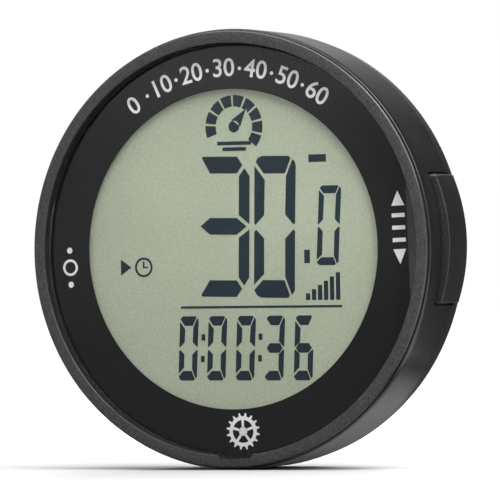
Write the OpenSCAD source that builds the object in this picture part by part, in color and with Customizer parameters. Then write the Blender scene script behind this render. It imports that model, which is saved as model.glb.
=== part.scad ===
// Round cycling computer for a handlebar bracket.
// The display faces -Y, +X is to the reader's right and +Z is up. The origin is on the
// case's axis, in the plane of the rear face, where the bayonet foot begins.
// Each piece is drawn lying on its back, with z running from the rear face (0) to the
// display, and stand() then sets it upright.

/* [Case] */
// Outer diameter of the case
case_d = 60; // [58:0.5:66]
// Thickness from the bezel's face to the rear face
case_t = 13.4; // [13.2:0.2:16]
// Side wall of the rear housing
wall = 1.6; // [1.4:0.1:2]
// Thin front edge of the side wall, which takes the bezel
rim_t = 0.9; // [0.7:0.1:1.1]
// Floor of the rear housing
floor_t = 1.6; // [1.2:0.1:2]
// Height of the slight taper behind the side wall
taper_h = 2.3; // [1:0.1:3]
// How far the taper draws in
taper_in = 0.25; // [0.1:0.05:0.5]
// Radius of the rear edge
rear_round = 1.2; // [0.6:0.1:1.8]
// Width of the seam between bezel and housing
seam_w = 0.15; // [0.1:0.05:0.3]
// How far the housing's front edge draws in towards the bezel
edge_in = 0.25; // [0.2:0.05:0.4]
// Height over which it draws in
edge_h = 1; // [0.5:0.1:1.5]
// Clearance of the bezel's spigot in the housing
spigot_gap = 0.1; // [0.05:0.05:0.2]

/* [Bezel] */
// Width of the bezel's ring, seen from the front
bezel_w = 2; // [1.8:0.1:3]
// How far the bezel's lip stands back from the case's side
lip_inset = 0.3; // [0.2:0.05:0.5]
// Thickness of the bezel's outer lip
lip_t = 0.55; // [0.4:0.05:1]
// Rounding of the bezel's outer edge
lip_round = 0.2; // [0.1:0.05:0.3]
// Width of the ledge that carries the lens
ledge_w = 2; // [1.6:0.1:2.4]
// Thickness of that ledge
ledge_t = 1.1; // [1:0.1:1.3]
// Section diameter of the seal ring between bezel and housing
case_seal_d = 0.56; // [0.4:0.02:0.6]

/* [Lens] */
// Depth of the lens below the bezel's face
lens_recess = 0.9; // [0.4:0.1:1.2]
// Thickness of the lens
lens_t = 1; // [0.8:0.1:1.4]
// Chamfer round the lens
lens_chamfer = 0.3; // [0.1:0.05:0.4]
// Clearance of the lens in the bezel
lens_gap = 0.1; // [0.05:0.05:0.2]
// Width of the black mask round the clear window
mask_w = 6.25; // [5:0.25:9]
// Thickness of the black mask film
mask_t = 0.1; // [0.05:0.05:0.2]
// Thickness of the adhesive ring under the lens
tape_t = 0.2; // [0.1:0.05:0.3]
// Width of the key at the bottom of the lens
key_w = 5.3; // [3:0.1:8]
// How far the key's notch reaches into the bezel
key_h = 0.45; // [0.2:0.05:0.6]

/* [Display] */
// Thickness of each sheet of display glass
glass_t = 0.7; // [0.5:0.05:0.8]
// Thickness of the polariser and of the reflector
film_t = 0.2; // [0.1:0.05:0.3]
// Thickness of the foam ring in front of the display
foam_t = 0.5; // [0.3:0.1:0.8]
// Width of the contact ledge along the display's lower edge
contact_w = 1.9; // [1.6:0.1:2.4]
// Clearance round the display glass
glass_gap = 0.24; // [0.1:0.02:0.4]
// Room between the display and the board
frame_h = 1.5; // [1.2:0.1:1.8]
// Thickness of the circuit board
board_t = 0.8; // [0.6:0.1:1.2]

/* [Buttons] */
// Distance from the bezel's face to a button
button_z = 4.16; // [4:0.02:4.6]
// Height of a button along the case's axis
button_h = 6.1; // [5:0.1:6.4]
// Length of a button, end to end
button_l = 17.4; // [14:0.2:20]
// How far a button stands out at its middle
button_out = 1.2; // [0.8:0.1:1.6]
// Radius of a button's outer face
button_face_r = 23.2; // [20:0.2:28]
// Clearance round a button
button_gap = 0.3; // [0.2:0.05:0.4]
// How far a button travels
button_travel = 0.5; // [0.3:0.05:0.6]
// Depth of the button's seat below the case's side
seat_depth = 2.2; // [2:0.1:2.4]
// Wall behind the seat
seat_wall = 1.2; // [1:0.1:1.4]
// Diameter of the button's plunger
plunger_d = 2.5; // [2:0.1:3]
// Radial clearance of the plunger in its bore
plunger_gap = 0.08; // [0.02:0.01:0.1]

/* [Battery] */
// Diameter of the coin cell
cell_d = 20; // [16:0.5:20]
// Thickness of the coin cell
cell_t = 3.2; // [2:0.1:3.2]
// Clearance round the cell and its door
cell_gap = 0.3; // [0.2:0.05:0.4]
// Thickness of the battery door
door_t = 1.9; // [1.7:0.1:2.1]
// Width of the shoulder on which the door's seal lies
door_shoulder = 1.9; // [1.8:0.1:2.1]
// How far the door's tabs stand out
door_tab = 0.9; // [0.6:0.1:1.2]
// Angle through which the door turns to open
door_turn = 60; // [50:5:65]

/* [Foot] */
// Diameter of the bayonet foot's neck
foot_d = 30; // [30:0.5:34]
// How far the foot stands out of the rear face
foot_h = 3; // [2.8:0.1:3.6]
// How far the bayonet lugs stand out of the neck
lug_out = 2.3; // [1.5:0.1:3]
// Thickness of a lug
lug_t = 1.4; // [1:0.1:1.8]
// Angle that one lug spans
lug_angle = 40; // [20:2:50]

/* [Hidden] */
$fn = 96;
fine = 192;
over = 1;

// Radii of the case, from the outside inwards
case_r = case_d / 2;
rim_r = case_r - rim_t;
bore_r = case_r - wall;
spigot_r = rim_r - spigot_gap;
lip_r = case_r - lip_inset;
open_r = case_r - bezel_w;
ledge_r = open_r - ledge_w;
lens_r = open_r - lens_gap;
window_r = open_r - mask_w;
lcd_r = ledge_r - glass_gap;
lcd_flat = lcd_r * cos(22.5);
frame_r = ledge_r + 0.3;
board_r = ledge_r + 0.2;

// Heights above the rear face, from the front backwards
lens_top = case_t - lens_recess;
lens_bottom = lens_top - lens_t;
mask_bottom = lens_bottom - mask_t;
ledge_top = mask_bottom - tape_t;
spigot_end = ledge_top - ledge_t;
lip_bottom = case_t - lip_t;
rim_top = lip_bottom - seam_w;
lcd_top = mask_bottom - foam_t;
front_glass_top = lcd_top - film_t;
rear_glass_top = front_glass_top - glass_t;
reflector_top = rear_glass_top - glass_t;
frame_shelf = reflector_top - film_t;
board_top = frame_shelf - frame_h;
board_bottom = board_top - board_t;

// Case screws and the posts that they pass through
post_r = ledge_r - 0.4;
boss_r = 1.4;
housing_post_r = 2.1;
screw_r = 0.8;
screw_gap = 0.15;
head_r = 1.45;
head_h = 1.2;
head_depth = 0.8;
screw_seat = head_depth + head_h;
screw_end = spigot_end - 0.1;
screw_angles = [45, 135, 225, 315];

// The seal ring's groove in the bezel's spigot
seal_r = case_seal_d / 2;
seal_groove_h = case_seal_d + 0.06;
seal_groove_z = (spigot_end + ledge_top - seal_groove_h) / 2 - 0.05;
seal_mid_r = rim_r - 0.04 - seal_r;

// The display's contact ledge and the strip beneath it
rear_glass_low = lcd_flat - contact_w;
strip_w = contact_w - 0.3;
strip_l = 2 * (lcd_flat - 0.5) * tan(22.5) - 1;
strip_y = -(rear_glass_low + 0.15 + strip_w / 2);

// Buttons, on the +X side; the other one is its mirror image
button_top = case_t - button_z;
button_low = button_top - button_h;
seat_x = case_r - seat_depth;
pad_x = seat_x - seat_wall;
guide_l = 1.2;
guide_x = pad_x - guide_l;
button_back_x = seat_x + button_travel + 0.2;
button_arc_x = case_r + button_out - button_face_r;
plunger_r = plunger_d / 2;
plunger_bore_r = plunger_r + plunger_gap;
guide_r = plunger_bore_r + 0.9;
clip_t = 0.4;
clip_gap = 0.05;
clip_x = guide_x - clip_gap - clip_t;
plunger_end_x = clip_x - 0.35;
ring_r = 0.22;
ring_mid_x = pad_x + 0.05;
stem_r = 0.75;
stem_gap = 0.08;
stem_out = button_travel + 0.2;
switch_x = plunger_end_x - stem_out;
switch_l = 3.5;
switch_w = 6;
switch_h = 3;
plunger_z = board_bottom - switch_h / 2;

// Battery chamber, its door and the foot round them
cell_r = cell_d / 2;
chamber_r = cell_r + cell_gap;
door_bore_r = chamber_r + door_shoulder;
door_r = door_bore_r - 0.2;
tab_r = door_r + door_tab;
tab_groove_r = tab_r + cell_gap;
tab_t = 0.7;
tab_low = -foot_h + 1;
door_inner = -foot_h + door_t;
shoulder_z = door_inner + 0.2;
cell_low = door_inner + 0.1;
cell_top = cell_low + cell_t;
spring_room = 0.8;
ceiling_z = cell_top + spring_room;
ceiling_t = 0.9;
chamber_top = ceiling_z + ceiling_t;
chamber_wall = 1.6;
tab_angle = 26;
tab_angles = [90, 210, 330];
entry_angle = 30;
door_seal_r = 0.45;
door_seal_mid = chamber_r + door_shoulder / 2;
foot_r = foot_d / 2;
lug_r = foot_r + lug_out;
strip_t = 0.3;

// Points along an arc about c, from angle a to angle b
function arc(c, r, a, b, n = 8) =
    [for (i = [0:n]) c + r * [cos(a + (b - a) * i / n), sin(a + (b - a) * i / n)]];

module stand() rotate([90, 0, 0]) children();

module other_side() mirror([1, 0, 0]) children();

module disc(r, z0, z1) translate([0, 0, z0]) cylinder(r = r, h = z1 - z0);

module ring(r_in, r_out, z0, z1) difference() {
    disc(r_out, z0, z1);
    disc(r_in, z0 - over, z1 + over);
}

module at_screws() for (a = screw_angles) rotate(a) translate([post_r, 0, 0]) children();

// Block between two corners
module block(low, high) translate(low) cube(high - low);

// Rod along X
module rod_x(r, x0, x1, z) translate([x0, 0, z]) rotate([0, 90, 0]) cylinder(r = r, h = x1 - x0);

// Ring of round section about the X axis
module seal_ring_x(mid_r, r, x, z)
    translate([x, 0, z]) rotate([0, 90, 0]) rotate_extrude() translate([mid_r, 0]) circle(r = r, $fn = 24);

// Part of a flat ring, centred on the +X direction
module sector(r_in, r_out, angle, z0, z1) translate([0, 0, z0]) linear_extrude(z1 - z0)
    intersection() {
        difference() {
            circle(r = r_out);
            circle(r = r_in);
        }
        polygon([[0, 0], 2 * r_out * [cos(angle / 2), -sin(angle / 2)],
                 2 * r_out * [cos(angle / 2), sin(angle / 2)]]);
    }

// Outline of the display: an octagon with a flat at the bottom
module lcd_outline(grow = 0, low = 0) intersection() {
    rotate(22.5) circle(r = lcd_r + grow / cos(22.5), $fn = 8);
    translate([-case_r, low == 0 ? -case_r : -low]) square([case_d, case_d]);
}

// Outline of the key at the bottom of the lens
module key_outline(gap) {
    floor_y = -(open_r + key_h - gap);
    side = key_w / 2 - gap;
    slope = key_h;
    polygon([[-side, -open_r + 1.5], [-side, -open_r + 0.1], [-side + slope, floor_y],
             [side - slope, floor_y], [side, -open_r + 0.1], [side, -open_r + 1.5]]);
}

bezel_section = concat(
    [[ledge_r, spigot_end], [spigot_r, spigot_end],
     [spigot_r, seal_groove_z], [seal_mid_r - seal_r - 0.03, seal_groove_z],
     [seal_mid_r - seal_r - 0.03, seal_groove_z + seal_groove_h],
     [spigot_r, seal_groove_z + seal_groove_h],
     [spigot_r, lip_bottom], [lip_r, lip_bottom]],
    arc([lip_r - lip_round, case_t - lip_round], lip_round, 0, 90, 5),
    [[open_r + 0.12, case_t], [open_r, case_t - 0.12],
     [open_r, ledge_top], [ledge_r, ledge_top]]);

// Moulded ring that holds the lens and closes the front of the case
module front_bezel() color([0.30, 0.30, 0.31]) stand() difference() {
    union() {
        rotate_extrude($fn = fine) polygon(bezel_section);
        at_screws() disc(boss_r, board_top, ledge_top - 0.15);
    }
    at_screws() disc(screw_r + 0.02, board_top - over, spigot_end + 0.4);
    translate([0, 0, mask_bottom - 0.1]) linear_extrude(case_t) key_outline(0);
}

// Clear lens with a key that stops it turning
module lens() color([0.85, 0.88, 0.88, 0.4]) stand() union() {
    rotate_extrude($fn = fine)
        polygon([[0, lens_bottom], [lens_r, lens_bottom], [lens_r, lens_top - lens_chamfer],
                 [lens_r - lens_chamfer, lens_top], [0, lens_top]]);
    translate([0, 0, lens_bottom]) linear_extrude(lens_t - lens_chamfer) key_outline(lens_gap);
}

// Black film behind the lens, with the round window cut out of it
module window_mask() color([0.05, 0.05, 0.05]) stand() union() {
    ring(window_r, lens_r - 0.1, mask_bottom, lens_bottom);
    translate([0, 0, mask_bottom]) linear_extrude(mask_t) key_outline(lens_gap + 0.05);
}

module lens_tape() color([0.12, 0.12, 0.12]) stand()
    ring(ledge_r + 0.1, lens_r - 0.1, ledge_top, mask_bottom);

// Foam ring that keeps dust out and presses the display back into its frame
module display_foam() color([0.1, 0.1, 0.1]) stand()
    ring(lcd_flat - 1.6, lcd_flat - 0.5, lcd_top, mask_bottom);

module lcd_polariser() color([0.62, 0.66, 0.55]) stand()
    translate([0, 0, front_glass_top]) linear_extrude(film_t) lcd_outline(-0.3);

module lcd_front_glass() color([0.75, 0.82, 0.78, 0.5]) stand()
    translate([0, 0, rear_glass_top]) linear_extrude(glass_t) lcd_outline();

// The rear sheet is shorter, so that the contacts on the front sheet stay bare
module lcd_rear_glass() color([0.7, 0.78, 0.74, 0.5]) stand()
    translate([0, 0, reflector_top]) linear_extrude(glass_t) lcd_outline(0, rear_glass_low);

module lcd_reflector() color([0.68, 0.71, 0.62]) stand()
    translate([0, 0, frame_shelf]) linear_extrude(film_t) lcd_outline(-0.3, rear_glass_low);

// Moulded frame between the display and the board; its pegs locate the board
module lcd_frame() color([0.85, 0.85, 0.82]) stand() union() {
    difference() {
        disc(frame_r, board_top, spigot_end);
        at_screws() disc(boss_r + 0.2, board_top - over, spigot_end + over);
        translate([0, 0, frame_shelf]) linear_extrude(case_t) lcd_outline(0.12);
        translate([0, 0, board_top - over]) linear_extrude(case_t) difference() {
            lcd_outline(-1.6, rear_glass_low - 1.2);
            for (a = [0, 180]) rotate(a) translate([lcd_flat - 4, -1.5]) square([4, 3]);
        }
        block([-strip_l / 2 - 0.15, strip_y - strip_w / 2 - 0.1, board_top - over],
              [strip_l / 2 + 0.15, strip_y + strip_w / 2 + 0.1, case_t]);
    }
    frame_pegs(0.6, board_bottom - 0.25, board_top + 0.1);
}

module frame_pegs(r, z0, z1)
    for (a = [80, 100, 236, 304]) rotate(a) translate([frame_r - 1.3, 0, 0]) disc(r, z0, z1);

// Rubber strip that carries the display's signals from the board
module zebra_strip() color([0.9, 0.55, 0.65]) stand()
    block([-strip_l / 2, strip_y - strip_w / 2, board_top],
          [strip_l / 2, strip_y + strip_w / 2, rear_glass_top]);

module circuit_board() color([0.05, 0.35, 0.2]) stand() difference() {
    disc(board_r, board_bottom, board_top);
    at_screws() disc(screw_r + screw_gap, board_bottom - over, board_top + over);
    frame_pegs(0.65, board_bottom - over, board_top + over);
    for (a = [0, 180]) rotate(a)
        block([switch_x + 0.3, -guide_r - 0.3, board_bottom - over],
              [case_r, guide_r + 0.3, board_top + over]);
    for (p = [plus_leg, minus_leg]) translate([p[0], p[1], board_bottom - over])
        cylinder(r = 0.35, h = board_t + 2 * over, $fn = 24);
}

// Black resin dome over the bare chip, set in from the board's upper edge
blob_r = 3.6;
blob_h = 1.5;
blob_inset = 7.6;
module chip_blob() color([0.05, 0.05, 0.06]) stand() translate([0, board_r - blob_inset, board_bottom])
    mirror([0, 0, 1]) rotate_extrude()
        polygon(concat([[0, 0], [blob_r, 0]], arc([blob_r - blob_h, 0], blob_h, 30, 90, 5), [[0, blob_h]]));

// Small surface-mount parts on the rear of the board, in pairs beside the resin and the receiver
chip_size = [1.6, 0.8, 0.6];
chip_inset = 7;
chip_step = 12;
module board_chips() color([0.55, 0.42, 0.3]) stand()
    for (side = [140, 40, 212, 328], i = [-0.5, 0.5]) rotate(side + i * chip_step)
        translate([board_r - chip_inset, -chip_size[1] / 2, board_bottom - chip_size[2]]) cube(chip_size);

// Clock crystal in its small steel can
crystal_r = 1;
crystal_l = 6;
module crystal() color([0.75, 0.75, 0.77]) stand() translate([blob_r + crystal_r, board_r - blob_inset, 0])
    rod_x(crystal_r, 0, crystal_l, board_bottom - crystal_r - 0.05);

// Ferrite rod of the receiver and the copper winding on it
antenna_inset = 9.2;
coil_r = 1.9;
coil_l = 9;
core_r = 1.4;
core_l = 15;
module beside_antenna() translate([0, antenna_inset - board_r, 0]) children();

module antenna_core() color([0.25, 0.25, 0.27]) stand() beside_antenna()
    rod_x(core_r, -core_l / 2, core_l / 2, board_bottom - coil_r - 0.05);

module antenna_coil() color([0.72, 0.42, 0.2]) stand() beside_antenna() difference() {
    rod_x(coil_r, -coil_l / 2, coil_l / 2, board_bottom - coil_r - 0.05);
    rod_x(core_r + 0.05, -coil_l / 2 - over, coil_l / 2 + over, board_bottom - coil_r - 0.05);
}

// Side-pressed switch on the rear of the board
module switch_body() difference() {
    union() {
        block([switch_x - switch_l, -switch_w / 2, board_bottom - switch_h],
              [switch_x, switch_w / 2, board_bottom]);
        for (s = [-1, 1]) translate([0, s * (switch_w / 2 + 0.3), 0])
            block([switch_x - switch_l + 0.5, -0.5, board_bottom - 0.3],
                  [switch_x - 0.5, 0.5, board_bottom]);
    }
    rod_x(stem_r + stem_gap, switch_x - button_travel - 0.8, switch_x + over, plunger_z);
}

module mode_switch() color([0.78, 0.78, 0.8]) stand() switch_body();
module set_switch() color([0.78, 0.78, 0.8]) stand() other_side() switch_body();

module switch_stem() rod_x(stem_r, switch_x - 0.6, plunger_end_x, plunger_z);

module mode_switch_stem() color([0.15, 0.15, 0.15]) stand() switch_stem();
module set_switch_stem() color([0.15, 0.15, 0.15]) stand() other_side() switch_stem();

// Arc-shaped button with its plunger; the plunger has grooves for a seal ring and a clip
module button() difference() {
    union() {
        intersection() {
            translate([button_arc_x, 0, 0]) rotate_extrude($fn = fine)
                polygon(concat(
                    [[0, button_low]],
                    arc([button_face_r - 0.3, button_low + 0.3], 0.3, -90, 0, 4),
                    arc([button_face_r - 0.3, button_top - 0.3], 0.3, 0, 90, 4),
                    [[0, button_top]]));
            block([button_back_x, -button_l / 2, button_low - over],
                  [case_r + button_out + over, button_l / 2, button_top + over]);
        }
        rod_x(plunger_r, plunger_end_x, button_back_x + 0.5, plunger_z);
    }
    groove(plunger_bore_r - 2 * ring_r - 0.02, ring_mid_x - ring_r - 0.05, ring_mid_x + ring_r + 0.05);
    groove(plunger_r - 0.3, clip_x - 0.02, clip_x + clip_t + 0.02);
}

// Turned groove in the plunger down to radius r
module groove(r, x0, x1) difference() {
    rod_x(plunger_r + over, x0, x1, plunger_z);
    rod_x(r, x0 - over, x1 + over, plunger_z);
}

module mode_button() color([0.12, 0.12, 0.125]) stand() button();
module set_button() color([0.12, 0.12, 0.125]) stand() other_side() button();

module button_seal() seal_ring_x(plunger_bore_r - 0.02 - ring_r, ring_r, ring_mid_x, plunger_z);

module mode_button_seal() color([0.08, 0.08, 0.08]) stand() button_seal();
module set_button_seal() color([0.08, 0.08, 0.08]) stand() other_side() button_seal();

// Open spring clip that keeps the plunger in its guide
module button_clip() difference() {
    rod_x(plunger_r + 0.75, clip_x, clip_x + clip_t, plunger_z);
    rod_x(plunger_r - 0.28, clip_x - over, clip_x + clip_t + over, plunger_z);
    block([clip_x - over, -(plunger_r - 0.35), plunger_z - 3 * plunger_r],
          [clip_x + clip_t + over, plunger_r - 0.35, plunger_z]);
}

module mode_button_clip() color([0.7, 0.7, 0.72]) stand() button_clip();
module set_button_clip() color([0.7, 0.7, 0.72]) stand() other_side() button_clip();

// Leaf springs of the battery; their legs end on the rear of the board
minus_leg = [0, -0.7 * cell_r];
plus_leg = [0, chamber_r + 0.65];
leaf_w = 3;

module minus_contact() color([0.8, 0.78, 0.7]) stand() {
    low = cell_top + 0.1;
    y0 = minus_leg[1] - strip_t / 2;
    y1 = 0.2 * cell_r;
    y2 = 0.65 * cell_r;
    y3 = 0.75 * cell_r;
    translate([-leaf_w / 2, 0, 0]) rotate([90, 0, 90]) linear_extrude(leaf_w)
        polygon([[y0, board_bottom], [y0, ceiling_z - strip_t - 0.05],
                 [y1, ceiling_z - strip_t - 0.05], [y2, low],
                 [y3, low + strip_t / 2], [y3, low + 1.5 * strip_t],
                 [y2, low + strip_t], [y1, ceiling_z - 0.05],
                 [y0 + strip_t, ceiling_z - 0.05], [y0 + strip_t, board_bottom]]);
}

module plus_contact() color([0.8, 0.78, 0.7]) stand() {
    y0 = plus_leg[1] - strip_t / 2;
    translate([-leaf_w / 2, 0, 0]) rotate([90, 0, 90]) linear_extrude(leaf_w)
        polygon([[y0, board_bottom], [y0, cell_top - 0.4], [cell_r + 0.1, cell_low + 1.4],
                 [y0, cell_low + 0.6], [y0 + strip_t, cell_low + 0.6],
                 [cell_r + 0.1 + strip_t, cell_low + 1.4], [y0 + strip_t, cell_top - 0.4],
                 [y0 + strip_t, board_bottom]]);
}

// Round lithium cell, its wider can towards the door
module coin_cell() color([0.78, 0.78, 0.8]) stand() rotate_extrude($fn = fine)
    polygon(concat([[0, cell_low]],
        arc([cell_r - 0.3, cell_low + 0.3], 0.3, -90, 0, 4),
        [[cell_r, cell_top - 0.6], [cell_r - 0.25, cell_top - 0.3],
         [cell_r - 0.9, cell_top - 0.3], [cell_r - 1.1, cell_top], [0, cell_top]]));

// Round door with bayonet tabs and a slot for a coin
slot_depth = 1;
slot_w = 1.8;
coin_r = 11;
module battery_door() color([0.13, 0.13, 0.135]) stand() difference() {
    union() {
        rotate_extrude($fn = fine)
            polygon([[0, -foot_h], [door_r - 0.25, -foot_h], [door_r, -foot_h + 0.25],
                     [door_r, door_inner], [door_seal_mid + door_seal_r + 0.03, door_inner],
                     [door_seal_mid + door_seal_r + 0.03, door_inner - 2 * door_seal_r + 0.08],
                     [door_seal_mid - door_seal_r - 0.03, door_inner - 2 * door_seal_r + 0.08],
                     [door_seal_mid - door_seal_r - 0.03, door_inner], [0, door_inner]]);
        for (a = tab_angles) rotate(a)
            sector(door_r - 0.3, tab_r, tab_angle, tab_low, tab_low + tab_t);
    }
    translate([0, slot_w / 2, -foot_h - coin_r + slot_depth]) rotate([90, 0, 0])
        cylinder(r = coin_r, h = slot_w);
    translate([0, 0, -foot_h - over]) linear_extrude(over + 0.2)
        translate([0, door_r - 1.6]) polygon([[-0.8, -0.7], [0.8, -0.7], [0, 0.7]]);
}

module battery_door_seal() color([0.08, 0.08, 0.08]) stand() rotate_extrude($fn = fine)
    translate([door_seal_mid, shoulder_z - 0.08 - door_seal_r]) circle(r = door_seal_r, $fn = 24);

// Outline of half the housing's section, with the foot, door seat and battery chamber
taper_a = atan(taper_in / taper_h);
round_x = case_r - taper_in - rear_round * cos(taper_a);
taper_low = rear_round * (1 - sin(taper_a));
housing_section = concat(
    [[rim_r, spigot_end], [rim_r, rim_top]],
    [for (i = [0:8]) [case_r - edge_in * (1 - sin(i * 11.25)), rim_top - edge_h * (1 - cos(i * 11.25))]],
    [[case_r, taper_low + taper_h]],
    arc([round_x, rear_round], rear_round, -taper_a, -90, 6),
    [[foot_r + 0.4, 0], [foot_r, -0.4], [foot_r, -foot_h + 0.3], [foot_r - 0.3, -foot_h],
     [door_bore_r, -foot_h], [door_bore_r, tab_low - 0.1], [tab_groove_r, tab_low - 0.1],
     [tab_groove_r, tab_low + tab_t + 0.1], [door_bore_r, tab_low + tab_t + 0.1],
     [door_bore_r, shoulder_z], [chamber_r, shoulder_z], [chamber_r, ceiling_z], [0, ceiling_z],
     [0, chamber_top], [chamber_r + chamber_wall, chamber_top],
     [chamber_r + chamber_wall, floor_t], [bore_r - 0.6, floor_t], [bore_r, floor_t + 0.6],
     [bore_r, spigot_end]]);

// Shell of the housing, turned from its section, with slots for the battery's two legs
module housing_shell() difference() {
    rotate_extrude($fn = fine) polygon(housing_section);
    block([-leaf_w / 2 - 0.3, minus_leg[1] - 0.5, ceiling_z - over],
          [leaf_w / 2 + 0.3, minus_leg[1] + 0.5, chamber_top + over]);
    block([-leaf_w / 2 - 0.3, cell_r - 1, shoulder_z + 0.4],
          [leaf_w / 2 + 0.3, plus_leg[1] + 0.4, chamber_top + over]);
}

// Moulded rear shell: side wall, button seats, screw posts, battery chamber and bayonet foot
module rear_housing() color([0.12, 0.12, 0.125]) stand() difference() {
    union() {
        housing_shell();
        at_screws() housing_post();
        for (i = [0:7]) rotate(22.5 + i * 45)
            block([chamber_r + chamber_wall / 2, -0.4, floor_t / 2], [bore_r + wall / 2, 0.4, floor_t + 1]);
        for (a = [0, 180]) rotate(a) button_pad();
        for (a = [45, 135, 225, 315]) rotate(a)
            sector(foot_r - 0.5, lug_r, lug_angle, -foot_h, -foot_h + lug_t);
        for (a = tab_angles) rotate(a + tab_angle / 2 + 3)
            sector(door_bore_r + 0.1, tab_groove_r + 0.5, 4, tab_low - 0.3, tab_low + tab_t + 0.3);
    }
    button_cut();
    other_side() button_cut();
    at_screws() disc(screw_r + screw_gap, -over, case_t);
    at_screws() disc(head_r + screw_gap, -over, screw_seat);
    for (a = tab_angles) rotate(a - door_turn)
        sector(door_r - 0.5, tab_groove_r - 0.1, entry_angle, -foot_h - over, tab_low + tab_t);
}

// Post that a case screw passes through, with a web to the side wall
module housing_post() {
    translate([-post_r, 0, 0])
        block([post_r + screw_r + 0.5, -0.5, floor_t / 2], [bore_r + wall / 2, 0.5, board_bottom]);
    disc(housing_post_r, floor_t / 2, board_bottom);
}

// Flat wall behind a button and the guide for its plunger
module button_pad() {
    half = button_l / 2 + button_gap + 1.2;
    intersection() {
        block([pad_x, -half, floor_t / 2], [case_r, half, spigot_end - 0.1]);
        disc(bore_r + wall / 2, 0, case_t);
    }
    rod_x(guide_r, guide_x, pad_x + 0.5, plunger_z);
}

// Seat for a button and the bore for its plunger
module button_cut() {
    block([seat_x, -button_l / 2 - button_gap, button_low - button_gap],
          [case_r + over, button_l / 2 + button_gap, button_top + button_gap]);
    rod_x(plunger_bore_r, guide_x - over, case_r, plunger_z);
}

// Rubber ring in the groove of the bezel's spigot
module housing_seal() color([0.08, 0.08, 0.08]) stand() rotate_extrude($fn = fine)
    translate([seal_mid_r, seal_groove_z + seal_groove_h / 2]) circle(r = seal_r, $fn = 24);

// Four screws through the housing and the board into the bezel
module housing_screws() color([0.7, 0.7, 0.72]) stand() at_screws() difference() {
    union() {
        disc(head_r, head_depth, screw_seat);
        disc(screw_r, head_depth, screw_end);
    }
    for (a = [0, 90]) rotate(a) translate([-0.8, -0.15, head_depth - over]) cube([1.6, 0.3, over + 0.6]);
}

front_bezel();
lens();
window_mask();
lens_tape();
display_foam();
lcd_polariser();
lcd_front_glass();
lcd_rear_glass();
lcd_reflector();
lcd_frame();
zebra_strip();
circuit_board();
chip_blob();
board_chips();
crystal();
antenna_core();
antenna_coil();
mode_switch();
set_switch();
mode_switch_stem();
set_switch_stem();
mode_button();
set_button();
mode_button_seal();
set_button_seal();
mode_button_clip();
set_button_clip();
minus_contact();
plus_contact();
coin_cell();
battery_door();
battery_door_seal();
rear_housing();
housing_seal();
housing_screws();
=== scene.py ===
from math import asin, atan2, cos, hypot, pi, radians, sin

import bpy
from mathutils import Matrix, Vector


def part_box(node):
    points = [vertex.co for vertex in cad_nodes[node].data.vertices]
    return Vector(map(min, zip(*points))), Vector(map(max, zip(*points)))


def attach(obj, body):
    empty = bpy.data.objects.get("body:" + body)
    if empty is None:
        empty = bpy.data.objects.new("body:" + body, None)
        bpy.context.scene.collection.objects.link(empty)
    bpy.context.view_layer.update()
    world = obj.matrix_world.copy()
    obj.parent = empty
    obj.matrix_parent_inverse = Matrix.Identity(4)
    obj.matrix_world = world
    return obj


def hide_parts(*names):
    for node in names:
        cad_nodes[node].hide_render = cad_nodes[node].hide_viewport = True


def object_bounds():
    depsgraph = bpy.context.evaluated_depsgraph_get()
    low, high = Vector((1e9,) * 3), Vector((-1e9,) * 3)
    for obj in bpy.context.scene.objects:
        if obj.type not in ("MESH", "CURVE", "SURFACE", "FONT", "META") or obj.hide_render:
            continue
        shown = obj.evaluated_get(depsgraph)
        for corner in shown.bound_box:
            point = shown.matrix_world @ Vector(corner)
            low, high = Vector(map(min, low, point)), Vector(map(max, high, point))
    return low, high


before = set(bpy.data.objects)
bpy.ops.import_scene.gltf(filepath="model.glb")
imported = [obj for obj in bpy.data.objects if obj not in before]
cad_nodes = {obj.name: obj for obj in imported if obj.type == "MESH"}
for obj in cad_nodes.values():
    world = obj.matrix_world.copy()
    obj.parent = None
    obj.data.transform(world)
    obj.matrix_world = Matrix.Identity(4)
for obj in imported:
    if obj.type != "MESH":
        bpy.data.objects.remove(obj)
cad_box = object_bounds()
bpy.ops.object.select_all(action="DESELECT")

# ---- Rear housing and battery door -----------------------------------------------------------
# The shell, the door and the four bayonet lugs are moulded in black ABS. The wall is polished to
# a satin with faint flow marks, and the rear face, door and foot keep a fine eroded grain. Their
# grained colour is several times lighter than the wall's: partly the grain's own grey, and partly
# painted light that lifts the rear out of the shade it stands in.
mm = 0.001


def new_material(name, colour, roughness):
    """A material with one Principled shader; returns it with its nodes, links and shader."""
    made = bpy.data.materials.new(name)
    made.use_nodes = True
    tree = made.node_tree
    shader = tree.nodes["Principled BSDF"]
    shader.inputs["Base Color"].default_value = (*colour, 1)
    shader.inputs["Roughness"].default_value = roughness
    return made, tree.nodes, tree.links, shader


def surface_noise(nodes, links, scale, detail=4, stretch=(1, 1, 1)):
    """A noise texture in the object's own coordinates, in grains per metre."""
    place = nodes.new("ShaderNodeTexCoord")
    size = nodes.new("ShaderNodeMapping")
    size.inputs["Scale"].default_value = stretch
    noise = nodes.new("ShaderNodeTexNoise")
    noise.inputs["Scale"].default_value = scale
    noise.inputs["Detail"].default_value = detail
    links.new(place.outputs["Object"], size.inputs["Vector"])
    links.new(size.outputs["Vector"], noise.inputs["Vector"])
    return noise.outputs["Fac"]


def spread(nodes, links, value, low, high, start=0.3, end=0.7):
    """The value stretched from start..end to low..high."""
    step = nodes.new("ShaderNodeMapRange")
    step.inputs["From Min"].default_value = start
    step.inputs["From Max"].default_value = end
    step.inputs["To Min"].default_value = low
    step.inputs["To Max"].default_value = high
    links.new(value, step.inputs["Value"])
    return step.outputs["Result"]


def shades(nodes, links, value, dark, light):
    """A colour between two shades, by value."""
    ramp = nodes.new("ShaderNodeValToRGB")
    ramp.color_ramp.elements[0].position = 0.3
    ramp.color_ramp.elements[1].position = 0.7
    ramp.color_ramp.elements[0].color = (*dark, 1)
    ramp.color_ramp.elements[1].color = (*light, 1)
    links.new(value, ramp.inputs["Fac"])
    return ramp.outputs["Color"]


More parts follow.
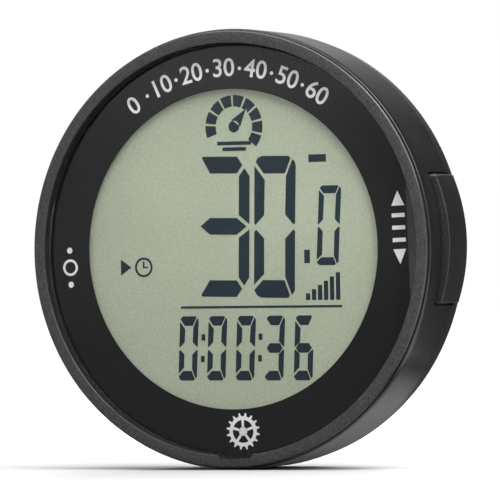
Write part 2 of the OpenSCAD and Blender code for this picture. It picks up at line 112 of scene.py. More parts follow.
def tint(nodes, links, shader, value, dark, light):
    """Base colour between two shades, by value."""
    links.new(shades(nodes, links, value, dark, light), shader.inputs["Base Color"])


def bump(nodes, links, shader, value, depth):
    """Relief of the surface from value, depth in metres."""
    relief = nodes.new("ShaderNodeBump")
    relief.inputs["Strength"].default_value = 1
    relief.inputs["Distance"].default_value = depth
    links.new(value, relief.inputs["Height"])
    links.new(relief.outputs["Normal"], shader.inputs["Normal"])


def moulded(name, dark, light, gloss, grain, grain_depth):
    """Moulded plastic: cloudy tint and gloss, and the grain that the tool leaves."""
    made, nodes, links, shader = new_material(name, light, gloss[1])
    cloud = surface_noise(nodes, links, 90)
    tint(nodes, links, shader, cloud, dark, light)
    links.new(spread(nodes, links, cloud, gloss[0], gloss[1]), shader.inputs["Roughness"])
    bump(nodes, links, shader, surface_noise(nodes, links, grain, 3), grain_depth)
    return made


def along_y(nodes, links, start, end, low=0, high=1):
    """low to high as the object's own Y runs from start to end, in mm."""
    place = nodes.new("ShaderNodeTexCoord")
    split = nodes.new("ShaderNodeSeparateXYZ")
    links.new(place.outputs["Object"], split.inputs["Vector"])
    return spread(nodes, links, split.outputs["Y"], low, high, start * mm, end * mm)


def mixed(nodes, links, kind, factor, first, second):
    """Blend by factor of two sockets, or of a socket and a value."""
    mix = nodes.new("ShaderNodeMix")
    mix.data_type = kind
    links.new(factor, mix.inputs["Factor"])
    for socket, given in (("A", first), ("B", second)):
        if isinstance(given, (float, tuple)):
            mix.inputs[socket].default_value = given
        else:
            links.new(given, mix.inputs[socket])
    return mix.outputs["Result"]


def times(nodes, links, first, second):
    """Product of two sockets."""
    product = nodes.new("ShaderNodeMath")
    product.operation = "MULTIPLY"
    links.new(first, product.inputs[0])
    links.new(second, product.inputs[1])
    return product.outputs[0]


def finish_node(name, material):
    """Gives a CAD node its material."""
    mesh = cad_nodes[name].data
    mesh.materials.clear()
    mesh.materials.append(material)


satin_black, nodes, links, shader = new_material("satin black ABS", (0.01, 0.01, 0.011), 0.3)
rear = along_y(nodes, links, -0.5, -0.1)
cloud = surface_noise(nodes, links, 90)
grit = surface_noise(nodes, links, 2500, 3)
# painted light: the rear's grained shades sit well above the satin wall's, partly as the grain's
# own grey and partly to lighten the rear, which the lamps leave in shade
grained = shades(nodes, links, grit, (0.018, 0.018, 0.019), (0.05, 0.05, 0.051))
satin = shades(nodes, links, cloud, (0.006, 0.006, 0.007), (0.01, 0.01, 0.011))
links.new(mixed(nodes, links, "RGBA", rear, satin, grained), shader.inputs["Base Color"])
gloss = spread(nodes, links, cloud, 0.24, 0.34)
links.new(mixed(nodes, links, "FLOAT", rear, gloss, 0.5), shader.inputs["Roughness"])
relief = times(nodes, links, grit, spread(nodes, links, rear, 0.1, 1, 0, 1))
bump(nodes, links, shader, relief, 4e-5)
finish_node("rear_housing", satin_black)
finish_node("battery_door", satin_black)

# ---- Seals -----------------------------------------------------------------------------------
# O-rings in black nitrile rubber for the case, the battery door and the two plungers; the
# rubber is matt, with a little talc left from assembly.
nitrile = moulded(
    "nitrile rubber", (0.012, 0.012, 0.012), (0.03, 0.03, 0.029), (0.6, 0.8), 5000, 8e-6)
for name in ("battery_door_seal", "housing_seal", "mode_button_seal", "set_button_seal"):
    finish_node(name, nitrile)

# ---- Screws, clips, cell and contacts --------------------------------------------------------
# Zinc-plated screws, spring-steel clips, a nickel-plated cell and phosphor-bronze leaves;
# the plating is brushed by its handling and a little uneven.


def plated(name, dark, light, gloss):
    """Plated metal with fine drawn lines and uneven gloss."""
    made, nodes, links, shader = new_material(name, light, gloss[1])
    shader.inputs["Metallic"].default_value = 1
    lines = surface_noise(nodes, links, 1500, 3, (1, 1, 0.08))
    tint(nodes, links, shader, lines, dark, light)
    links.new(spread(nodes, links, lines, gloss[0], gloss[1]), shader.inputs["Roughness"])
    bump(nodes, links, shader, lines, 3e-6)
    return made


zinc = plated("zinc plate", (0.42, 0.42, 0.44), (0.6, 0.6, 0.62), (0.25, 0.4))
finish_node("housing_screws", zinc)
spring_steel = plated("spring steel", (0.3, 0.3, 0.32), (0.48, 0.48, 0.5), (0.25, 0.4))
finish_node("mode_button_clip", spring_steel)
finish_node("set_button_clip", spring_steel)
nickel = plated("nickel plate", (0.55, 0.54, 0.52), (0.72, 0.71, 0.69), (0.15, 0.3))
finish_node("coin_cell", nickel)
bronze = plated("phosphor bronze", (0.5, 0.42, 0.3), (0.68, 0.58, 0.42), (0.2, 0.35))
finish_node("minus_contact", bronze)
finish_node("plus_contact", bronze)

# ---- Circuit board ---------------------------------------------------------------------------
# Green solder mask over glass cloth, with the resin dome over the bare chip, ceramic chip
# parts, a crystal can, two pressed switches and the receiver's wound ferrite rod.
board_green, nodes, links, shader = new_material("solder mask", (0.01, 0.1, 0.045), 0.35)
cloth = surface_noise(nodes, links, 1800, 2)
tint(nodes, links, shader, cloth, (0.006, 0.07, 0.03), (0.014, 0.13, 0.06))
bump(nodes, links, shader, cloth, 1e-5)
finish_node("circuit_board", board_green)
resin = moulded("black epoxy", (0.008, 0.008, 0.009), (0.02, 0.02, 0.022), (0.2, 0.4), 900, 2e-5)
finish_node("chip_blob", resin)
ceramic = moulded("ceramic chips", (0.24, 0.17, 0.11), (0.42, 0.33, 0.23), (0.4, 0.6), 2500, 1e-5)
finish_node("board_chips", ceramic)
finish_node("crystal", plated("crystal can", (0.5, 0.5, 0.52), (0.68, 0.68, 0.7), (0.2, 0.3)))
switch_steel = plated("tinned steel", (0.45, 0.45, 0.46), (0.62, 0.62, 0.63), (0.3, 0.45))
finish_node("mode_switch", switch_steel)
finish_node("set_switch", switch_steel)
stem_black = moulded(
    "switch stem nylon", (0.012, 0.012, 0.012), (0.03, 0.03, 0.03), (0.4, 0.55), 1500, 1e-5)
finish_node("mode_switch_stem", stem_black)
finish_node("set_switch_stem", stem_black)
ferrite = moulded("ferrite", (0.03, 0.03, 0.033), (0.07, 0.07, 0.075), (0.5, 0.7), 3000, 2e-5)
finish_node("antenna_core", ferrite)


def stripes(nodes, links, scale, distortion=0.0):
    """Bands across the object's own X."""
    place = nodes.new("ShaderNodeTexCoord")
    bands = nodes.new("ShaderNodeTexWave")
    bands.bands_direction = "X"
    bands.inputs["Scale"].default_value = scale
    bands.inputs["Distortion"].default_value = distortion
    links.new(place.outputs["Object"], bands.inputs["Vector"])
    return bands.outputs["Fac"]


winding, nodes, links, shader = new_material("enamelled copper", (0.55, 0.22, 0.08), 0.3)
shader.inputs["Metallic"].default_value = 1
turns = stripes(nodes, links, 1400, 0.4)
tint(nodes, links, shader, turns, (0.3, 0.1, 0.03), (0.66, 0.3, 0.12))
bump(nodes, links, shader, turns, 5e-5)
finish_node("antenna_coil", winding)

# ---- Display frame and contact strip ---------------------------------------------------------
# A white acetal frame carries the glass on its shelf, and a striped conductive rubber strip
# is pressed between the board and the glass's contact ledge.
acetal = moulded("white acetal", (0.66, 0.66, 0.63), (0.78, 0.78, 0.75), (0.4, 0.55), 1200, 1e-5)
finish_node("lcd_frame", acetal)
zebra, nodes, links, shader = new_material("striped rubber", (0.4, 0.2, 0.22), 0.6)
tint(nodes, links, shader, stripes(nodes, links, 1600), (0.03, 0.03, 0.03), (0.75, 0.42, 0.46))
finish_node("zebra_strip", zebra)

# ---- Display glass ---------------------------------------------------------------------------
# Two sheets of glass with the liquid crystal between them, a reflector behind and a
# polariser in front. The polariser's grey-green is what the rider sees.
sheet_glass, nodes, links, shader = new_material("display glass", (0.8, 0.86, 0.82), 0.03)
shader.inputs["Transmission Weight"].default_value = 1
shader.inputs["IOR"].default_value = 1.5
finish_node("lcd_front_glass", sheet_glass)
finish_node("lcd_rear_glass", sheet_glass)

polariser, nodes, links, shader = new_material("polariser film", (0.36, 0.4, 0.3), 0.5)
shader.inputs["Specular IOR Level"].default_value = 0.1
cloud = spread(nodes, links, surface_noise(nodes, links, 70, 2), -0.2, 0.0)
speckle = nodes.new("ShaderNodeMath")
speckle.operation = "MULTIPLY_ADD"
speckle.inputs[1].default_value = 1.2
links.new(surface_noise(nodes, links, 3200, 2), speckle.inputs[0])
links.new(cloud, speckle.inputs[2])
tint(nodes, links, shader, speckle.outputs[0], (0.4, 0.452, 0.33), (0.49, 0.526, 0.4))
bump(nodes, links, shader, surface_noise(nodes, links, 9000, 2), 2e-6)
finish_node("lcd_polariser", polariser)
silvered = moulded("reflector film", (0.5, 0.52, 0.45), (0.6, 0.62, 0.54), (0.3, 0.45), 4000, 5e-6)
finish_node("lcd_reflector", silvered)

# ---- Display segments ------------------------------------------------------------------------
# The driven areas of the liquid crystal: speed, trip time, a rule and three symbols. They are
# etched in the glass's electrodes, and turn the light so that they look blue-black.
polariser_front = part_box("lcd_polariser")[0][1]
segment_t = 0.02 * mm
lcd_turn = radians(-2.0)


def flat_shapes(name, outlines, front, thickness, turn=0.0):
    """Closed outlines in the plane of the display, in millimetres, made one thin flat mesh."""
    curve = bpy.data.curves.new(name, "CURVE")
    curve.dimensions = "2D"
    curve.fill_mode = "BOTH"
    curve.extrude = thickness / 2
    for outline in outlines:
        line = curve.splines.new("POLY")
        line.points.add(len(outline) - 1)
        for point, (x, y) in zip(line.points, outline):
            point.co = (x * mm, y * mm, 0, 1)
        line.use_cyclic_u = True
    shape = bpy.data.objects.new(name, curve)
    bpy.context.collection.objects.link(shape)
    return laid_upright(shape, front, thickness, turn)


def laid_upright(shape, front, thickness, turn):
    """Makes a flat shape a mesh and stands it behind the plane y = front."""
    bpy.ops.object.select_all(action="DESELECT")
    shape.select_set(True)
    bpy.context.view_layer.objects.active = shape
    bpy.ops.object.convert(target="MESH")
    shape = bpy.context.active_object
    shape.rotation_euler = (pi / 2, -turn, 0)
    shape.location = (0, front + thickness / 2, 0)
    bpy.ops.object.transform_apply(location=True, rotation=True, scale=True)
    bpy.ops.object.select_all(action="DESELECT")
    return shape


def bar(x0, y0, x1, y1):
    """The outline of a bar between two corners."""
    return [(x0, y0), (x1, y0), (x1, y1), (x0, y1)]


def digit(figure, left, top, w, h, tv, th, lean):
    """A seven-segment digit w by h: upright strokes tv thick, level ones th, set over by lean."""
    strokes = {
        "a": [(0.03 * w, 0.34 * th), (0.08 * w, 0.11 * th), (0.18 * w, 0), (0.82 * w, 0),
              (0.875 * w, 0.12 * th), (0.98 * w - tv, th), (tv - 0.02 * w, th)],
        "b": [(0.917 * w, 0.19 * th), (0.974 * w, 0.32 * th), (w, 0.55 * th),
              (0.99 * w, h / 2 - 0.33 * tv), (0.95 * w, h / 2 - 0.23 * tv),
              (w - 1.03 * tv, h / 2 - 1.1 * tv), (w - 0.97 * tv, 1.17 * th)],
        "c": [(0.95 * w, h / 2 + 0.22 * tv), (0.99 * w, h / 2 + 0.39 * tv),
              (0.99 * w, h - 0.42 * th), (0.92 * w, h - 0.16 * th), (w - tv, h - 1.2 * th),
              (w - 1.02 * tv, h / 2 + 1.07 * tv)],
        "d": [(0.005 * w, h - 0.43 * th), (tv - 0.03 * w, h - th), (w - 1.07 * tv, h - th),
              (0.87 * w, h - 0.15 * th), (0.83 * w, h), (0.175 * w, h), (0.075 * w, h - 0.13 * th)],
        "e": [(0, h / 2 + 0.45 * tv), (0.2 * tv, h / 2 + 0.27 * tv), (0.99 * tv, h / 2 + 1.05 * tv),
              (tv, h - 1.35 * th), (0, h - 0.72 * th)],
        "f": [(0, 0.57 * th), (1.03 * tv, 1.36 * th), (0.98 * tv, h / 2 - 1.05 * tv),
              (0.12 * tv, h / 2 - 0.17 * tv), (0, h / 2 - 0.27 * tv)],
        "g": [(0.07 * w, h / 2), (0.8 * tv, h / 2 - 0.5 * th), (w - 0.9 * tv, h / 2 - 0.5 * th),
              (0.91 * w, h / 2), (w - 0.9 * tv, h / 2 + 0.5 * th), (0.8 * tv, h / 2 + 0.5 * th)],
    }
    lit = {0: "abcdef", 3: "abcdg", 6: "acdefg"}[figure]
    return [[(left + x - lean * y, top - y) for x, y in strokes[s]] for s in lit]


def turned(outlines, angle, about):
    """Outlines turned by an angle in degrees about a point."""
    c, s = cos(radians(angle)), sin(radians(angle))
    x0, y0 = about
    return [[(x0 + c * x - s * y, y0 + s * x + c * y) for x, y in outline] for outline in outlines]


def round_outline(x, y, r, sides=48):
    """The outline of a disc."""
    return around(x, y, [(r, 2 * pi * i / sides) for i in range(sides)])


def around(x, y, points):
    """The outline through points given as (radius, angle) about a centre."""
    return [(x + r * cos(a), y + r * sin(a)) for r, a in points]


# the speed: a three with broad strokes, a nought, and a small nought after its point
big_three = [
    [(-7.2, 9.3), (-7.05, 9.5), (-1.9, 9.5), (-1.1, 8.37), (-1.9, 7.22), (-5.95, 7.22)],
    [(-7.37, 0.05), (-5.94, 1.18), (-1.9, 1.18), (-0.42, 0.05), (-1.9, -1.08), (-5.94, -1.08)],
    [(-7.2, -9.3), (-7.05, -9.52), (-1.86, -9.52), (-1.06, -8.4), (-1.86, -7.28), (-5.93, -7.28)],
    [(-0.8, 7.93), (0, 6.84), (0, 0.35), (-1.6, 1.57), (-1.6, 6.84)],
    [(0, -0.35), (-1.58, -1.47), (-1.58, -6.87), (-0.76, -7.97), (0, -6.9)],
]
speed = turned(big_three + digit(0, 0.73, 9.57, 6.15, 19.15, 1.5, 2.38, 0), -1.0, (2.5, 3.0))
speed += digit(0, 12.95, 8.36, 3.27, 10.7, 0.76, 1.06, 0.05)
speed += [bar(11.4, 12.57, 14.0, 11.55), bar(10.62, -0.24, 11.45, -2.04)]

# the trip time: five digits and two colons
trip_time = []
for figure, left in ((0, -8.12), (0, -3.8), (0, 0.51), (3, 4.86), (6, 9.2)):
    trip_time += digit(figure, left, -9.05, 2.82, 8.74, 0.8, 1.3, 0.044)
dot_w, dot_h = 0.56, 0.86
for left, top in ((-4.92, -11.5), (-5.05, -14.44), (3.68, -11.46), (3.56, -14.36)):
    trip_time.append(bar(left, top, left + dot_w, top - dot_h))
rule = [bar(-8.0, -7.69, 16.13, -8.0)]

# the symbols: rising bars for the pace
symbols = []
pace_left, pace_foot, pace_step, pace_w, pace_h, pace_rise = 10.8, -7.0, 0.89, 0.62, 0.9, 0.56
for i in range(6):
    left = pace_left + pace_step * i
    symbols.append(bar(left, pace_foot + pace_h + pace_rise * i, left + pace_w, pace_foot))
# a clock with its two hands, and the sign for running beside it
clock_x, clock_y = -13.6, -2.3
symbols += [round_outline(clock_x, clock_y, 1.35), round_outline(clock_x, clock_y, 1.05)]
symbols += [bar(-13.72, -1.5, -13.48, -2.42), bar(-13.48, -2.2, -12.95, -2.42)]
symbols += [[(-17.1, -1.2), (-15.5, clock_y), (-17.1, -3.4)]]
# a dial of wedges with its hub and needle, on two bars
dial_x, dial_y, dial_r, wedge_r = 0.35, 16.6, 4.3, 2.75
dial_start, wedge_step, wedge = 200, 27.2, 22.5
for i in range(9):
    a0 = radians(dial_start - wedge_step * i)
    a2 = radians(dial_start - wedge_step * i - wedge)
    a1 = (a0 + a2) / 2
    symbols.append(around(dial_x, dial_y, (
        (dial_r, a0), (dial_r, a1), (dial_r, a2), (wedge_r, a2), (wedge_r, a1), (wedge_r, a0))))
symbols += [round_outline(dial_x, dial_y, 0.8, 32), [(0.0, 17.5), (2.2, 19.0), (1.3, 16.6)]]
symbols += [bar(-2.2, 14.6, 2.9, 14.1), bar(-1.4, 13.8, 2.1, 13.3)]

ink, nodes, links, shader = new_material("liquid crystal ink", (0.015, 0.03, 0.045), 0.5)
shader.inputs["Specular IOR Level"].default_value = 0
cloud = surface_noise(nodes, links, 70, 2)
tint(nodes, links, shader, cloud, (0.002, 0.014, 0.026), (0.001, 0.018, 0.032))
for name, outlines in (
        ("speed_segments", speed), ("time_segments", trip_time),
        ("rule_segment", rule), ("symbol_segments", symbols)):
    piece = flat_shapes(name, outlines, polariser_front - segment_t, segment_t, lcd_turn)
    piece.data.materials.append(ink)
    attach(piece, "case")

# ---- Foam, tape and printed mask -------------------------------------------------------------
# A die-cut black foam ring, a black adhesive ring, and the lens's mask: two coats of screen
# ink, the first one white in the shape of the scale and signs, the second solid black.
soft_foam = moulded("black foam", (0.01, 0.01, 0.01), (0.03, 0.03, 0.03), (0.8, 0.95), 4000, 5e-5)
finish_node("display_foam", soft_foam)
tape = moulded("black tape", (0.01, 0.01, 0.01), (0.02, 0.02, 0.02), (0.5, 0.7), 3000, 1e-5)
finish_node("lens_tape", tape)
mask_ink, nodes, links, shader = new_material("black screen ink", (0.02, 0.02, 0.02), 0.6)
shader.inputs["Specular IOR Level"].default_value = 0.1
cloud = surface_noise(nodes, links, 150, 2)
tint(nodes, links, shader, cloud, (0.024, 0.024, 0.025), (0.028, 0.028, 0.029))
finish_node("window_mask", mask_ink)

mask_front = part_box("window_mask")[0][1]
print_t = 0.03 * mm
white_ink = moulded(
    "white screen ink", (0.94, 0.94, 0.94), (0.98, 0.98, 0.98), (0.4, 0.5), 6000, 2e-6)


def add_print(piece):
    """Inks a print white and fixes it to the case."""
    piece.data.materials.append(white_ink)
    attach(piece, "case")


# the scale at the top: the tens from 0 to 60 on an arc, with a dot between each two
scale_r, scale_start, scale_step = 24.55, 34.2, 11.4
number_size, number_weight, dot_r = 3.45, 0.04, 0.26
for i in range(7):
    angle = radians(scale_step * i - scale_start)
    bpy.ops.object.text_add()
    number = bpy.context.active_object
    number.name = f"scale_number_{i}"
    number.data.body = str(10 * i)
    number.data.size = number_size * mm
    number.data.align_x = "CENTER"
    number.data.align_y = "CENTER"
    number.data.extrude = print_t / 2
    number.data.offset = number_weight * mm
    bpy.ops.object.convert(target="MESH")
    number = bpy.context.active_object
    number.location = (scale_r * mm * sin(angle), scale_r * mm * cos(angle), 0)
    number.rotation_euler = (0, 0, -angle)
    bpy.ops.object.transform_apply(location=True, rotation=True, scale=True)
    add_print(laid_upright(number, mask_front - print_t, print_t, 0))

ticks = []
for i in range(6):
    a = radians(90 + scale_start - scale_step * (i + 0.5))
    ticks.append(round_outline(scale_r * cos(a), scale_r * sin(a), dot_r, 20))

# beside the left button a ring between two dots, beside the right one bars between two arrows
left_x = -24.75
left_sign = [
    round_outline(left_x, -1.35, 1.15), round_outline(left_x, -1.35, 0.8),
    round_outline(left_x, 1.0, 0.42, 24), round_outline(left_x, -3.7, 0.42, 24),
]
right_x0, right_x1 = 24.0, 25.9
right_mid = (right_x0 + right_x1) / 2
right_sign = [
    [(right_x0, 4.6), (right_mid, 6.6), (right_x1, 4.6)],
    bar(right_x0, 3.6, right_x1, 3.05),
    bar(right_x0, 1.95, right_x1, 1.4),
    bar(right_x0, 0.3, right_x1, -0.25),
    [(right_x0, -1.2), (right_x1, -1.2), (right_mid, -3.2)],
]

# a chainring at the foot: a toothed ring, five arms that widen to the hub, and the hub
chain_x, chain_y, tooth_count = 0.6, -24.75, 16
root_r, tip_r, inner_r = 2.05, 2.5, 1.55
teeth = []
for i in range(tooth_count):
    for k, r in ((0.0, root_r), (0.25, root_r), (0.4, tip_r), (0.6, tip_r), (0.75, root_r)):
        teeth.append((r, 2 * pi * (i + k) / tooth_count))
chainring = [around(chain_x, chain_y, teeth), round_outline(chain_x, chain_y, inner_r)]
arms = []
for i in range(5):
    middle = 2 * pi * i / 5 + pi / 2
    arms.append(around(chain_x, chain_y, (
        (0.5, middle - 0.35), (1.6, middle - 0.12), (1.6, middle + 0.12), (0.5, middle + 0.35))))
hub = [round_outline(chain_x, chain_y, 0.62, 24)]

for name, outlines in (
        ("scale_ticks", ticks), ("left_sign", left_sign), ("right_sign", right_sign),
        ("chainring_sign", chainring), ("chainring_arms", arms), ("chainring_hub", hub)):
    add_print(flat_shapes(name, outlines, mask_front - print_t, print_t))

# ---- Lens ------------------------------------------------------------------------------------
# One disc of hard-coated acrylic, 1 mm thick, with an eased edge and a key at the foot, taped
# into the bezel. The lamps' light goes straight through it to the display.
round_sides = 240
lens_r, lens_back, lens_front = 27.9, -11.5, -12.5


def pulled(name, rings, sides):
    """A shape about the Y axis, pulled ring by ring out of a circle; a ring is (radius, y)."""
    radius, y = rings[0]
    bpy.ops.mesh.primitive_circle_add(
        vertices=sides, radius=radius * mm, location=(0, y * mm, 0), rotation=(pi / 2, 0, 0))
    shape = bpy.context.active_object
    shape.name = name
    bpy.ops.object.transform_apply(location=True, rotation=True, scale=True)
    bpy.ops.object.mode_set(mode="EDIT")
    bpy.ops.mesh.select_all(action="SELECT")
    for next_radius, next_y in rings[1:]:
        bpy.ops.mesh.extrude_region_move(
            TRANSFORM_OT_translate={"value": (0, (next_y - y) * mm, 0)})
        grow = next_radius / radius
        bpy.ops.transform.resize(value=(grow, 1, grow), center_override=(0, 0, 0))
        radius, y = next_radius, next_y
    return shape


def closed(shape):
    """Merges doubles, closes what is open and turns the faces outwards."""
    bpy.ops.mesh.select_all(action="SELECT")
    bpy.ops.mesh.remove_doubles(threshold=1e-6)
    bpy.ops.mesh.fill_holes(sides=0)
    bpy.ops.mesh.normals_make_consistent(inside=False)
    bpy.ops.mesh.select_all(action="DESELECT")
    bpy.ops.object.mode_set(mode="OBJECT")
    return shape


def pick(shape, kind, *tests):
    """In edit mode, selects the vertices or edges whose points all pass one of the tests."""
    bpy.ops.object.mode_set(mode="EDIT")
    bpy.ops.mesh.select_mode(type=kind)
    bpy.ops.mesh.select_all(action="DESELECT")
    bpy.ops.object.mode_set(mode="OBJECT")
    mesh = shape.data
    points = [[c / mm for c in v.co] for v in mesh.vertices]
    if kind == "VERT":
        for vertex in mesh.vertices:
            vertex.select = any(test(points[vertex.index]) for test in tests)
    else:
        for edge in mesh.edges:
            edge.select = any(all(test(points[i]) for i in edge.vertices) for test in tests)
    bpy.ops.object.mode_set(mode="EDIT")


def on_ring(radius, y):
    """Test for points on a ring about the Y axis."""
    return lambda p: abs(hypot(p[0], p[2]) - radius) < 0.01 and abs(p[1] - y) < 0.01


def cut(shape, tool, how="DIFFERENCE"):
    """Cuts a tool out of a shape or joins it on, and removes the tool."""
    step = shape.modifiers.new("cut", "BOOLEAN")
    step.operation = how
    step.object = tool
    bpy.context.view_layer.objects.active = shape
    bpy.ops.object.modifier_apply(modifier=step.name)
    bpy.data.objects.remove(tool)


def key_block(middle_y, middle_z, size, slant=0.45):
    """A block at the rim's foot with its two outer corners cut off aslant."""
    bpy.ops.mesh.primitive_cube_add(size=1, location=(0, middle_y * mm, middle_z * mm))
    shape = bpy.context.active_object
    shape.scale = [side * mm for side in size]
    bpy.ops.object.transform_apply(location=True, rotation=True, scale=True)
    pick(shape, "EDGE", lambda p: p[2] < -28 and p[0] < -2, lambda p: p[2] < -28 and p[0] > 2)
    bpy.ops.mesh.bevel(offset=slant * mm, segments=1, affect="EDGES")
    bpy.ops.object.mode_set(mode="OBJECT")
    return shape


def finished(shape, material, body, stands_for):
    """Smooths a shape, gives it its material and puts it on its body in place of the CAD node."""
    bpy.ops.object.mode_set(mode="OBJECT")
    bpy.ops.object.select_all(action="DESELECT")
    shape.select_set(True)
    bpy.context.view_layer.objects.active = shape
    bpy.ops.object.shade_smooth_by_angle(angle=radians(40))
    bpy.ops.object.select_all(action="DESELECT")
    shape.data.materials.clear()
    shape.data.materials.append(material)
    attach(shape, body)
    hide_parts(stands_for)


clear_lens, nodes, links, shader = new_material("clear acrylic", (0.98, 0.99, 0.985), 0.0)
shader.inputs["Transmission Weight"].default_value = 1
shader.inputs["IOR"].default_value = 1.49
path = nodes.new("ShaderNodeLightPath")
through = nodes.new("ShaderNodeBsdfTransparent")
mix = nodes.new("ShaderNodeMixShader")
links.new(path.outputs["Is Shadow Ray"], mix.inputs["Fac"])
links.new(shader.outputs["BSDF"], mix.inputs[1])
links.new(through.outputs["BSDF"], mix.inputs[2])
links.new(mix.outputs["Shader"], nodes["Material Output"].inputs["Surface"])

lens = closed(pulled("lens_disc", (
    (0.5, lens_back), (lens_r, lens_back), (lens_r, lens_front), (0.5, lens_front)), round_sides))
pick(lens, "EDGE", on_ring(lens_r, lens_front))
bpy.ops.mesh.bevel(offset=0.06 * mm, segments=2, affect="EDGES")
bpy.ops.object.mode_set(mode="OBJECT")
cut(lens, key_block(-11.93, -27.9, (5.1, 0.86, 0.9)), "UNION")

# the join leaves near-double points, which are merged so that the mesh is the same each time
bpy.ops.object.mode_set(mode="EDIT")
closed(lens)
finished(lens, clear_lens, "case", "lens")

# ---- Bezel -----------------------------------------------------------------------------------
# One moulding in black ABS: a spark-eroded face between two polished edges, a stepped spigot
# that is pressed into the housing over the seal ring, and four posts for the case screws.
face_y, lip_y, ledge_y, spigot_y = -13.4, -12.85, -11.2, -10.1
opening_r, ledge_r, spigot_r, rim_r = 28.0, 26.0, 29.0, 29.7
groove_r, groove_back, groove_front = 28.47, -10.3, -10.92
bezel = closed(pulled("bezel_ring", (
    (opening_r, face_y), (opening_r, ledge_y), (ledge_r, ledge_y), (ledge_r, spigot_y),
    (spigot_r, spigot_y), (spigot_r, groove_back), (groove_r, groove_back),
    (groove_r, groove_front), (spigot_r, groove_front), (spigot_r, lip_y), (rim_r, lip_y),
    (rim_r, face_y), (opening_r, face_y),
), round_sides))
for radius, y, offset, segments in (
        (rim_r, face_y, 0.24, 5), (opening_r, face_y, 0.16, 4), (rim_r, lip_y, 0.08, 2)):
    pick(bezel, "EDGE", on_ring(radius, y))
    bpy.ops.mesh.bevel(offset=offset * mm, segments=segments, affect="EDGES")
bpy.ops.object.mode_set(mode="OBJECT")

# the notch for the lens's key, and the posts that take the case screws
cut(bezel, key_block(-12.35, -27.475, (5.3, 2.1, 1.95)))
post_circle, post_r, pilot_r = 25.6, 1.4, 0.82
post_foot, post_end, pilot_end = -11.05, -7.6, -10.5
for i in range(4):
    angle = radians(45 + 90 * i)
    post = closed(pulled("post", (
        (0.05, pilot_end), (pilot_r, pilot_end), (pilot_r, post_end), (post_r, post_end),
        (post_r, post_foot), (0.05, post_foot)), 48))
    post.location = (post_circle * mm * cos(angle), 0, post_circle * mm * sin(angle))
    bpy.ops.object.transform_apply(location=True, rotation=True, scale=True)
    cut(bezel, post, "UNION")

eroded, nodes, links, shader = new_material("spark-eroded black", (0.045, 0.045, 0.046), 0.45)
face = along_y(nodes, links, face_y + 0.02, face_y + 0.06, 1, 0)
grit = surface_noise(nodes, links, 3300, 3)
grained = shades(nodes, links, grit, (0.02, 0.02, 0.021), (0.07, 0.07, 0.071))
colour = mixed(nodes, links, "RGBA", face, (0.02, 0.02, 0.021, 1), grained)
links.new(colour, shader.inputs["Base Color"])
links.new(spread(nodes, links, face, 0.17, 0.48, 0, 1), shader.inputs["Roughness"])
bump(nodes, links, shader, times(nodes, links, grit, face), 6e-5)
finished(bezel, eroded, "case", "front_bezel")

# ---- Buttons ---------------------------------------------------------------------------------
# Two arc-shaped keys, moulded in one piece with their plungers; the outside is satin, and the
# flank towards the rider keeps the grain of the tool's parting face.
key_black, nodes, links, shader = new_material("grained black ABS", (0.012, 0.012, 0.013), 0.4)
flank = along_y(nodes, links, -9.1, -9.0, 1, 0.05)
grit = surface_noise(nodes, links, 3600, 3)
tint(nodes, links, shader, grit, (0.004, 0.004, 0.005), (0.018, 0.018, 0.019))
links.new(spread(nodes, links, flank, 0.3, 0.5, 0, 1), shader.inputs["Roughness"])
bump(nodes, links, shader, times(nodes, links, grit, flank), 1e-4)

key_centre, key_r, key_back, key_thick = 8.0, 23.2, 28.5, 2
key_front, key_rear, key_end = -9.12, -3.14, 8.7
key_turn = asin(key_end / key_r)


def on_face(p):
    """Whether a point is on the key's curved outside."""
    return hypot(p[0] - key_centre, p[2]) > key_r - 0.01


# a section across the key is spun along its arc, and its back is pressed flat
mid_r, mid_y = key_r - key_thick / 2, (key_front + key_rear) / 2
bpy.ops.mesh.primitive_plane_add(
    size=1, rotation=(0, key_turn, 0),
    location=((key_centre + mid_r * cos(key_turn)) * mm, mid_y * mm, -mid_r * sin(key_turn) * mm))
key = bpy.context.active_object
key.name = "mode_key"
key.scale = (key_thick * mm, (key_rear - key_front) * mm, 1)
bpy.ops.object.transform_apply(location=True, rotation=True, scale=True)
bpy.ops.object.mode_set(mode="EDIT")
bpy.ops.mesh.select_all(action="SELECT")
bpy.ops.mesh.spin(steps=36, angle=2 * key_turn, center=(key_centre * mm, 0, 0), axis=(0, 1, 0))
closed(key)
pick(key, "VERT", lambda p: not on_face(p))
bpy.ops.transform.resize(value=(0, 1, 1), center_override=(key_back * mm, 0, 0))
back_end = (key_r - key_thick) * sin(key_turn)
pick(key, "VERT", lambda p: not on_face(p) and abs(p[2]) > back_end - 0.01)
bpy.ops.transform.resize(value=(1, 1, key_end / back_end), center_override=(0, 0, 0))

# the two ends are rounded more than the long edges
pick(key, "EDGE",
     lambda p: on_face(p) and abs(p[2]) > key_end - 0.01,
     lambda p: abs(p[1] - key_front) < 0.01 and abs(p[2]) > key_end - 0.01)
bpy.ops.mesh.bevel(offset=0.35 * mm, segments=4, affect="EDGES")
pick(key, "EDGE",
     lambda p: on_face(p) and abs(p[1] - key_front) < 0.01,
     lambda p: on_face(p) and abs(p[1] - key_rear) < 0.01)
bpy.ops.mesh.bevel(offset=0.2 * mm, segments=4, affect="EDGES")
bpy.ops.object.mode_set(mode="OBJECT")

